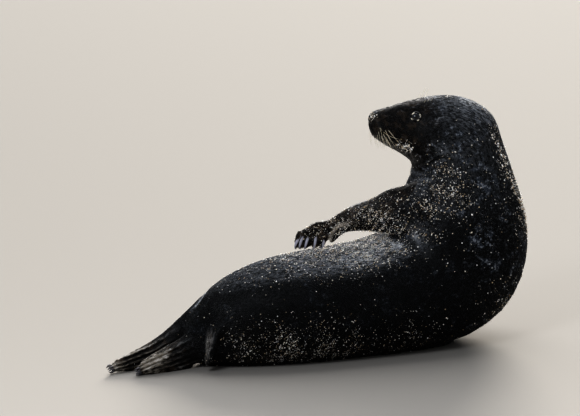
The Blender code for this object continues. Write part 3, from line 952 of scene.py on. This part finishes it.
# Rings out from the axis: black pupil, blue-grey iris whose blue is cornea haze together with
# painted sky reflection, a dark edge, then brown beyond.
RINGS = (
    (0.0, "#020204"), (PUPIL * 0.96, "#020204"), (PUPIL * 1.06, "#161a22"),
    (IRIS * 0.94, "#27303d"), (IRIS * 1.02, "#050506"), (0.9, "#1a1413"),
)
view_angle = add_node(tree, "Attribute", out="Fac", attribute_name="from_axis")
rings = add_node(tree, "ValToRGB", (view_angle,), stops=RINGS)
place = add_node(tree, "TexCoord", out="Object")
fibres = add_node(tree, "TexNoise", {"Vector": place, "Scale": 900.0, "Detail": 2.0})
fibres = add_node(tree, "ValToRGB", (fibres,), stops=((0.3, 0.35), (0.7, 1.0)))
links = {0: 0.5, 6: rings, 7: fibres}
shaded = add_node(tree, "Mix", links, blend_type="MULTIPLY", **BLEND)
feed(tree, surface, {"Base Color": shaded, "Roughness": 0.06, "IOR": 1.38})
feed(tree, surface, {"Coat Weight": 1.0, "Coat Roughness": 0.02, "Coat IOR": 1.38})

for name, side in (("eye_left", -1), ("eye_right", 1)):
    middle, axis, _, _ = eye_frame(side)
    bpy.ops.mesh.primitive_uv_sphere_add(
        segments=48, ring_count=32, radius=EYE_RADIUS - 0.0002, location=middle
    )
    ball = bpy.context.object
    ball.name = name + "_ball"
    ball.rotation_euler = Vector(axis).to_track_quat("Z", "Y").to_euler()
    bpy.ops.object.transform_apply(location=True, rotation=True, scale=True)
    spokes = places(ball.data) - middle
    from_axis = np.arccos(np.clip(unit(spokes) @ axis, -1, 1))
    bulge = 1 + 0.045 * ease(math.radians(40), math.radians(8), from_axis)
    put_places(ball.data, middle + spokes * bulge[:, None])
    put_attributes(ball.data, from_axis=from_axis)
    ball.data.shade_smooth()
    ball.data.materials.append(wet_eye)
    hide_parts(name)
    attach(ball, "root")

# ------------------------------------------------------------
# Lids. The bare wet rim of each eye opening, black above and paler with tear crust below. A
# band swept round the lid's edge, from under the eyeball over the rim and down into the skin.
LID_STEPS = 72
# Degrees beyond the lid's edge, height over the eyeball in mm, and how much crust it can hold.
LID_SECTION = (
    (-3.0, -1.0, 0.0), (-1.5, 0.2, 0.8), (0.0, 1.2, 1.0), (2.0, 2.1, 1.0),
    (5.0, 2.5, 1.0), (9.0, 2.1, 0.8), (13.0, 0.8, 0.2), (16.0, -2.5, 0.0),
)
# Crust lies in four clots, behind, below, low in front and high in front: angle and half width.
CLOTS = ((0.2, 0.42), (-1.1, 0.26), (-2.6, 0.28), (2.2, 0.40))


def made_of(name, verts, faces):
    """A smooth object from lists of points and faces."""
    mesh = bpy.data.meshes.new(name)
    mesh.from_pydata(verts, [], faces)
    mesh.shade_smooth()
    return add_object(name, mesh)


def bands(rings, sides, start=0):
    """For each face between rings of corners: its corner on the first ring, and the next one."""
    for ring in range(rings - 1):
        for corner in range(sides):
            first = start + ring * sides
            yield first + corner, first + (corner + 1) % sides


# Bare skin kept wet by tears is black and glossy, and dried tears lie on it in crumbs up to 3 mm.
lid_skin, tree, surface = blank_material("bare_wet_lid")
crust = add_node(tree, "Attribute", out="Fac", attribute_name="crust")
place = add_node(tree, "TexCoord", out="Object")
grit = add_node(tree, "TexNoise", {"Vector": place, "Scale": 340.0, "Detail": 3.0})
gritty = add_node(tree, "ValToRGB", (grit,), stops=((0.44, 0.0), (0.50, 1.0)))
gritty = add_node(tree, "Math", (crust, gritty), **TIMES)
tone = add_node(tree, "Mix", {0: gritty, 6: "#080708", 7: "#f4ead6"}, **BLEND)
bump = add_node(tree, "Bump", {"Strength": 0.4, "Distance": 0.0006, "Height": grit})
feed(tree, surface, {"Base Color": tone, "Roughness": 0.16, "IOR": 1.38, "Normal": bump})

for name, side in (("lid_left", -1), ("lid_right", 1)):
    middle, axis, up, back = eye_frame(side)
    turns = np.arange(LID_STEPS) * 2 * math.pi / LID_STEPS
    crusted = np.zeros(LID_STEPS)
    for at, half in CLOTS:
        apart = np.abs((turns - at + math.pi) % (2 * math.pi) - math.pi)
        crusted = np.maximum(crusted, ease(half + 0.15, half - 0.25, apart))
    verts = []
    for beyond, height, _ in LID_SECTION:
        tilt = lid_angle(turns) + math.radians(beyond)
        spoke = np.outer(np.cos(tilt), axis)
        spoke += (np.sin(tilt) * np.cos(turns))[:, None] * back
        spoke += (np.sin(tilt) * np.sin(turns))[:, None] * up
        verts.extend((middle + spoke * (EYE_RADIUS + height / 1000)).tolist())
    quads = [
        (a, a + LID_STEPS, b + LID_STEPS, b)[::-side] for a, b in bands(len(LID_SECTION), LID_STEPS)
    ]
    lid = made_of(name, verts, quads)
    edit_whole(lid, bpy.ops.mesh.normals_make_consistent, inside=False)
    by_band = [row[2] for row in LID_SECTION]
    put_attributes(lid.data, crust=np.outer(by_band, crusted).ravel())
    lid.data.materials.append(lid_skin)
    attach(lid, "root")

# ------------------------------------------------------------
# Whiskers and brow hairs. Stiff cream hairs, flattened and tapering, that grow in rows from the
# whisker pads and hang down and back, with a few over each eye. Tapered tubes swept on arcs.
HAIR_SIDES, HAIR_STEPS = 5, 9
HAIR_ROOT, HAIR_POINT = 0.002, 0.00012  # depth of the root, and radius of the tip
skin_tree = BVHTree.FromPolygons(places(skin.data).tolist(), corner_lists(skin.data))
hair_verts, hair_faces = [], []


def add_hair(root, way, droop, length, radius):
    """One tapering hair that starts along `way` and bends by `droop`."""
    first = len(hair_verts)
    heading, droop = Vector(way).normalized(), Vector(droop)
    place = Vector(root) - heading * HAIR_ROOT
    for step in range(HAIR_STEPS):
        t = step / (HAIR_STEPS - 1)
        side = heading.orthogonal().normalized()
        other = heading.cross(side)
        wide = radius * (1 - t) ** 0.7 + HAIR_POINT
        for corner in range(HAIR_SIDES):
            angle = 2 * math.pi * corner / HAIR_SIDES
            hair_verts.append(place + (side * math.cos(angle) + other * math.sin(angle)) * wide)
        place = place + heading * length / (HAIR_STEPS - 1)
        heading = (heading + droop / (HAIR_STEPS - 1)).normalized()
    for a, b in bands(HAIR_STEPS, HAIR_SIDES, first):
        hair_faces.extend(((a, b, b + HAIR_SIDES), (a, b + HAIR_SIDES, a + HAIR_SIDES)))
    last = first + (HAIR_STEPS - 1) * HAIR_SIDES
    for corner in range(1, HAIR_SIDES - 1):
        hair_faces.append((first, first + corner + 1, first + corner))
        hair_faces.append((last, last + corner, last + corner + 1))


def skin_from_side(x, z, side):
    """Where a level line from the animal's side meets the skin, and the skin's direction there."""
    return skin_tree.ray_cast(Vector((x, side * 0.3, z)), Vector((0, -side, 0)))[:2]


# Rows of roots from the top of the pad to the bottom: height, foremost x, and longest hair.
WHISKER_ROWS = (
    (0.750, 0.172, 0.090), (0.740, 0.167, 0.090), (0.730, 0.164, 0.082), (0.721, 0.168, 0.066),
)
BROW_HAIRS = ((0.334, 0.030), (0.346, 0.046), (0.358, 0.038))  # x and length
chance = np.random.default_rng(5)
for side in (-1, 1):
    for height, foremost, longest in WHISKER_ROWS:
        for column in range(3):
            x = foremost + 0.0020 + 0.0125 * column + chance.normal(0, 0.0010)
            z = height - 0.0038 * column + chance.normal(0, 0.0010)
            root, normal = skin_from_side(x, z, side)
            if root is None:
                continue
            share = column / 2
            way = Vector((0.12 + 0.38 * share, side * 0.50, -0.90)) + normal * 0.30
            droop = Vector((0.20 + chance.normal(0, 0.20), -side * 0.15, -0.40))
            length = longest * (0.60 + 0.40 * share) * chance.uniform(0.65, 1.1)
            add_hair(root, way, droop, length, 0.00038 + 0.00030 * share)
    root, _ = skin_from_side(0.1725, 0.7535, side)
    add_hair(root, (0.50, side * 0.30, -0.75), (0.9, 0, 0.45), 0.080, 0.0008)
    for x, length in BROW_HAIRS:
        hit, normal, _, _ = skin_tree.ray_cast(Vector((x, side * 0.030, 1.0)), Vector((0, 0, -1)))
        length *= 1.0 if side > 0 else 0.5
        add_hair(hit, normal + Vector((0.75, 0, 0.5)), (0.3, 0, 0.1), length, 0.0005)

whiskers = made_of("whiskers", hair_verts, hair_faces)
# Whiskers are smooth hard hair: cream with a slight gloss, and a tone that shifts every 6 mm.
bristle, tree, surface = blank_material("cream_whisker")
place = add_node(tree, "TexCoord", out="Object")
tones = add_node(tree, "TexNoise", {"Vector": place, "Scale": 160.0, "Detail": 1.0})
tones = add_node(tree, "ValToRGB", (tones,), stops=((0.3, "#b9a988"), (0.6, "#efe6cf")))
feed(tree, surface, {"Base Color": tones, "Roughness": 0.35, "IOR": 1.55})
whiskers.data.materials.append(bristle)
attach(whiskers, "root")

# ------------------------------------------------------------
# Claws. Long, narrow, slightly hooked claws of lilac-grey horn on the fore flippers, and small
# ones on the hind flippers. Each is swept along its CAD claw, with its root under the fur.
CLAW_SIDES, CLAW_STEPS = 10, 12
CLAW_LONGER = 0.006  # the left fore claws' tips reach this much past the CAD claws
# Horn worn smooth has a soft shine. It is dark at the root, pale at the tip, and its grain is 2 to
# 3 mm long.
claw_horn, tree, surface = blank_material("lilac_grey_horn")
place = add_node(tree, "TexCoord", out="Object")
grain = add_node(tree, "TexNoise", {"Vector": place, "Scale": 380.0, "Detail": 3.0})
reach = add_node(tree, "Attribute", out="Fac", attribute_name="reach")
dark_horn = add_node(tree, "Attribute", out="Fac", attribute_name="dark_horn")
at_root = add_node(tree, "ValToRGB", (reach,), stops=((0.0, 0.8), (0.30, 0.0)))
at_tip = add_node(tree, "ValToRGB", (reach,), stops=((0.8, 0.0), (1.0, 0.6)))
horn = add_node(tree, "Mix", {0: grain, 6: "#8b8a99", 7: "#c9c8d4"}, **BLEND)
for share, shade in ((at_root, "#2b2526"), (at_tip, "#dcd8d6"), (dark_horn, "#2d2825")):
    horn = add_node(tree, "Mix", {0: share, 6: horn, 7: shade}, **BLEND)
bump = add_node(tree, "Bump", {"Strength": 0.3, "Distance": 0.0005, "Height": grain})
feed(tree, surface, {"Base Color": horn, "Roughness": 0.32, "IOR": 1.55, "Normal": bump})

for limb, line in zip(FLIPPERS, LIMBS):
    on_hand = limb == "fore_flipper_left"
    rows = LINES[line]
    verts, faces, reaches = [], [], []
    nodes = [f"{limb}_claw_{number}" for number in range(1, 6)]
    for node in nodes:
        cloud = np.unique(np.round(places(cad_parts[node].data), 6), axis=0)
        middle = cloud.mean(0)
        _, _, ways = np.linalg.svd(cloud - middle)
        along = ways[0] if ways[0] @ (rows[-1, :3] - rows[-3, :3]) > 0 else -ways[0]
        travel = (cloud - middle) @ along
        root = cloud[travel < travel.min() + 0.002].mean(0)
        tip = cloud[travel > travel.max() - 0.001].mean(0) + along * CLAW_LONGER * on_hand
        normal = np.array(skin_tree.find_nearest(Vector(middle))[1])
        normal -= along * (normal @ along)
        normal /= np.linalg.norm(normal)
        sideways = np.cross(along, normal)
        length = travel.max() - travel.min()
        wide = np.abs((cloud - middle) @ sideways).max()
        inwards = rows[-3, :3] - root
        inwards -= normal * (inwards @ normal) + along * (inwards @ along)
        first = len(verts)
        for step in range(CLAW_STEPS + 1):
            t = step / CLAW_STEPS
            centre = root + (tip - root) * t + inwards * 0.22 * (1 - t) ** 2
            hook = 0.10 * length * math.sin(math.pi * min(1.0, t * 1.05)) - 0.10 * length * t**3
            centre[0] -= 0.005 * ease(-0.04, -0.10, centre[0]) * on_hand
            centre = centre + normal * (hook - 0.30 * wide - 0.9 * wide * (1 - t) ** 3)
            taper = 0.10 + 0.90 * math.sqrt(max(0.0, 1 - t**2.4))
            taper *= 0.80 + 0.20 * min(1.0, t * 4)
            for corner in range(CLAW_SIDES):
                angle = 2 * math.pi * corner / CLAW_SIDES
                keel = 1.15 if math.sin(angle) > 0.9 else 1.0
                across = sideways * wide * 0.92 * taper * math.cos(angle)
                upwards = normal * wide * 0.75 * taper * keel * math.sin(angle)
                verts.append(centre + across + upwards)
                reaches.append(t)
        for a, b in bands(CLAW_STEPS + 1, CLAW_SIDES, first):
            faces.append((a, b, b + CLAW_SIDES, a + CLAW_SIDES))
        last = first + CLAW_STEPS * CLAW_SIDES
        faces.append(tuple(range(first, first + CLAW_SIDES))[::-1])
        faces.append(tuple(range(last, last + CLAW_SIDES)))
    verts = np.array(verts)
    verts[:, 2] = np.maximum(verts[:, 2], 0.0006)
    claws = made_of(limb + "_claws", verts.tolist(), faces)
    edit_whole(claws, bpy.ops.mesh.normals_make_consistent, inside=False)
    dark = np.full(len(verts), 0.85 if line.startswith("hind") else 0.0)
    put_attributes(claws.data, reach=np.array(reaches), dark_horn=dark)
    claws.data.materials.append(claw_horn)
    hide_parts(*nodes)
    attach(claws, "root")

# ------------------------------------------------------------
# Sand. Coarse cream grains that cling to the damp coat: thick on neck, shoulder and the upper
# flank, along the low edge of the back, and in a clot at the corner of the mouth. Each grain is
# a small squashed octahedron, all joined in one mesh, with its own patch in the OFBake map.
GRAIN_FACES = np.array(
    ((0, 2, 4), (2, 1, 4), (1, 3, 4), (3, 0, 4), (2, 0, 5), (1, 2, 5), (3, 1, 5), (0, 3, 5))
)
GRAIN_LAYOUT = ((0.0, 0.5), (1.0, 0.5), (0.5, 1.0), (0.5, 0.0), (0.5, 0.5), (0.5, 0.52))
GRAIN_SHAPE = np.array(
    ((1, 0, 0), (-1, 0, 0), (0, 1, 0), (0, -1, 0), (0, 0, 1), (0, 0, -1)), float
)
GRAIN_SIZE, SIZE_SPREAD, SMALLEST, LARGEST = 0.00138, 0.46, 0.0007, 0.0036  # half a grain
SPARSE_SAND, EDGE_SAND = 700.0, 36000  # grains to the square metre
# Where it lies thick: x, y, z and reach in mm, and grains to the square metre.
SAND_PATCHES = (
    (365, -135, 590, 55, 26000), (340, -150, 530, 60, 24000), (400, -160, 500, 80, 9000),
    (290, -140, 470, 60, 11000), (200, -90, 480, 70, 9000), (120, -60, 480, 70, 26000),
    (40, -40, 450, 50, 20000), (-20, -30, 445, 45, 14000), (35, -60, 360, 100, 42000),
    (-110, -50, 350, 90, 24000), (-250, -40, 310, 90, 10000), (150, -80, 385, 80, 56000),
    (290, -160, 385, 80, 14000), (258, -50, 681, 17, 260000), (236, -46, 690, 10, 60000),
    (156, -14, 790, 11, 420000), (-230, -150, 70, 80, 34000), (-350, -110, 80, 70, 16000),
    (-60, -180, 50, 100, 22000), (180, -210, 50, 90, 10000), (540, -160, 150, 80, 9000),
    (622, -115, 420, 60, 9000), (605, -90, 520, 60, 8000), (575, -60, 600, 60, 4000),
    (450, 150, 450, 150, 5000), (100, 190, 80, 200, 7000),
)
# A band of sand follows the turn of the back.
SAND_EDGE = path(
    (558, -93, 720, 1000), (579, -104, 635, 1000), (594, -108, 583, 1000),
    (629, -102, 504, 1000), (653, -99, 416, 1000), (660, -98, 370, 1000),
)
chance = np.random.default_rng(77)
middles = points[corners].mean(1)
x, _, z = middles.T
on_snout = ease(0.42, 0.34, x) * (z > 0.665)
sandiness = SPARSE_SAND * (1 - on_snout) * (1 - 0.7 * ease(0.30, 0.10, x))
for *ball, density in SAND_PATCHES:
    sandiness += density * bell(middles, *ball)
sandiness += EDGE_SAND * np.exp(-((nearest(middles, SAND_EDGE)[0] / 0.024) ** 2))
# Sand is thinned in the places of painted shade as well.
for *ball, amount in SHADED_PLACES:
    sandiness *= 1 - 0.8 * amount * bell(middles, *ball)
# Little stays on the steep flank, and what there is lies in clots.
steep = ease(0.75, 0.50, outward[corners].mean(1)[:, 2]) * (x < 0.26)
steep *= ease(0.19, 0.23, z) * ease(0.42, 0.39, z)
sandiness *= 1 - 0.85 * steep
clots = np.sin(middles @ (70.0, 90.0, 50.0)) + np.sin(middles @ (-160.0, 130.0, 190.0))
sandiness *= 0.45 + 1.45 * ease(-0.4, 1.0, clots)
root, normal, _, mark, _, share = scatter(sandiness, 1.0, chance)
keep = ~((root[:, 2] < 0.003) & (normal[:, 2] < -0.3))
keep &= length_of(mirrored(root) - EYE_MIDDLE) > 0.024
root, normal, mark, share = root[keep], unit(normal[keep]), mark[keep], share[keep]
count = len(root)
size = np.exp(chance.normal(math.log(GRAIN_SIZE), SIZE_SPREAD, count)).clip(SMALLEST, LARGEST)
size[root[:, 0] < 0.20] *= 0.8
coat_depth = np.where(mark[:, 1] > 0.4, 0.0010, np.where(root[:, 2] > 0.68, 0.0014, 0.0024))
spin = unit(chance.normal(0, 1, (count, 3)))
side = unit(np.cross(normal, spin))
front = np.cross(side, normal)
shape = GRAIN_SHAPE[None] * chance.uniform(0.65, 1.25, (count, 6, 1)) * size[:, None, None]
verts = (
    (root + normal * (coat_depth + 0.4 * size)[:, None])[:, None, :]
    + shape[:, :, :1] * side[:, None, :]
    + shape[:, :, 1:2] * front[:, None, :]
    + 0.8 * shape[:, :, 2:] * normal[:, None, :]
)
verts[:, :, 2] = np.maximum(verts[:, :, 2], CLEARANCE)
grains, faces = mesh_of("sand_grains", verts, GRAIN_FACES)
put_attributes(grains.data, fleck=np.repeat(chance.random(count), 6))
bake_places(grains.data, root, share, faces, GRAIN_LAYOUT)
# Broken shell and quartz, rolled dull by the sea: one tone to a grain, mostly cream to white.
sand, tree, surface = blank_material("shell_sand_grain")
SAND_SHADES = (
    (0.0, "#8a7459"), (0.15, "#d2bd9c"), (0.35, "#f2e7d4"), (0.6, "#fef9f0"), (1.0, "#ffffff"),
)
kind = add_node(tree, "Attribute", out="Fac", attribute_name="fleck")
shade = add_node(tree, "ValToRGB", (kind,), stops=SAND_SHADES)
feed(tree, surface, {"Base Color": shade, "Roughness": 0.45, "IOR": 1.54})
grains.data.materials.append(sand)
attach(grains, "root")

# ------------------------------------------------------------
# Floor, light and camera. A plain pale floor under soft light.
bpy.ops.mesh.primitive_plane_add(size=60, location=(0, 0, 0))
floor = bpy.context.object
floor.name = "floor"
# Matt emulsion paint is even and shows no reflections.
pale, tree, surface = blank_material("pale_floor_paint")
feed(tree, surface, {"Base Color": "#87837d", "Roughness": 0.9})
floor.data.materials.append(pale)

world = bpy.data.worlds.new("studio")
bpy.context.scene.world = world
world.use_nodes = True
background = world.node_tree.nodes["Background"]
feed(world.node_tree, background, {"Color": "#e4e8ee", "Strength": 0.42})


def add_light(name, kind, place, heading, strength, tint, **settings):
    bpy.ops.object.light_add(type=kind, location=place)
    lamp = bpy.context.object
    lamp.name = name
    lamp.data.energy = strength
    lamp.data.color = linear(tint)[:3]
    lamp.rotation_euler = Vector(heading).to_track_quat("-Z", "Y").to_euler()
    for setting, value in settings.items():
        setattr(lamp.data, setting, value)


HIGH = (0, 0, 4)
heading = (-0.30, -0.55, -1.0)
add_light("overhead", "SUN", HIGH, heading, 2.2, "#fbfcff", angle=math.radians(60))
heading = (-0.42, -0.85, -0.36)
add_light("rim", "SUN", HIGH, heading, 3.8, "#fff9f0", angle=math.radians(25))
FRONT = Vector((-1.9, -1.9, 2.7))
heading = Vector((0.2, 0.0, 0.6)) - FRONT
add_light("front", "AREA", FRONT, heading, 42, "#eef3fb", size=0.9)

VIEW_DISTANCE = 9.0
bpy.ops.object.camera_add()
camera = bpy.context.object
turn, lift, roll = math.radians(-16), math.radians(12), math.radians(2.5)
level = Vector((math.cos(turn), math.sin(turn), 0.0))
ahead = math.cos(lift)
backward = Vector((math.sin(turn) * ahead, -math.cos(turn) * ahead, math.sin(lift)))
upward = backward.cross(level)
right = level * math.cos(roll) - upward * math.sin(roll)
up = level * math.sin(roll) + upward * math.cos(roll)
aim = right * -0.15075 + up * 0.4824
columns = [(*way, 0.0) for way in (right, up, backward)]
camera.matrix_world = Matrix((*columns, (*(aim + backward * VIEW_DISTANCE), 1.0))).transposed()
camera.data.sensor_width = 36.0
camera.data.lens = 166.76
camera.data.clip_end = 200.0
bpy.context.scene.camera = camera
bpy.context.scene.view_settings.view_transform = "Standard"
bpy.context.scene.view_settings.look = "High Contrast"
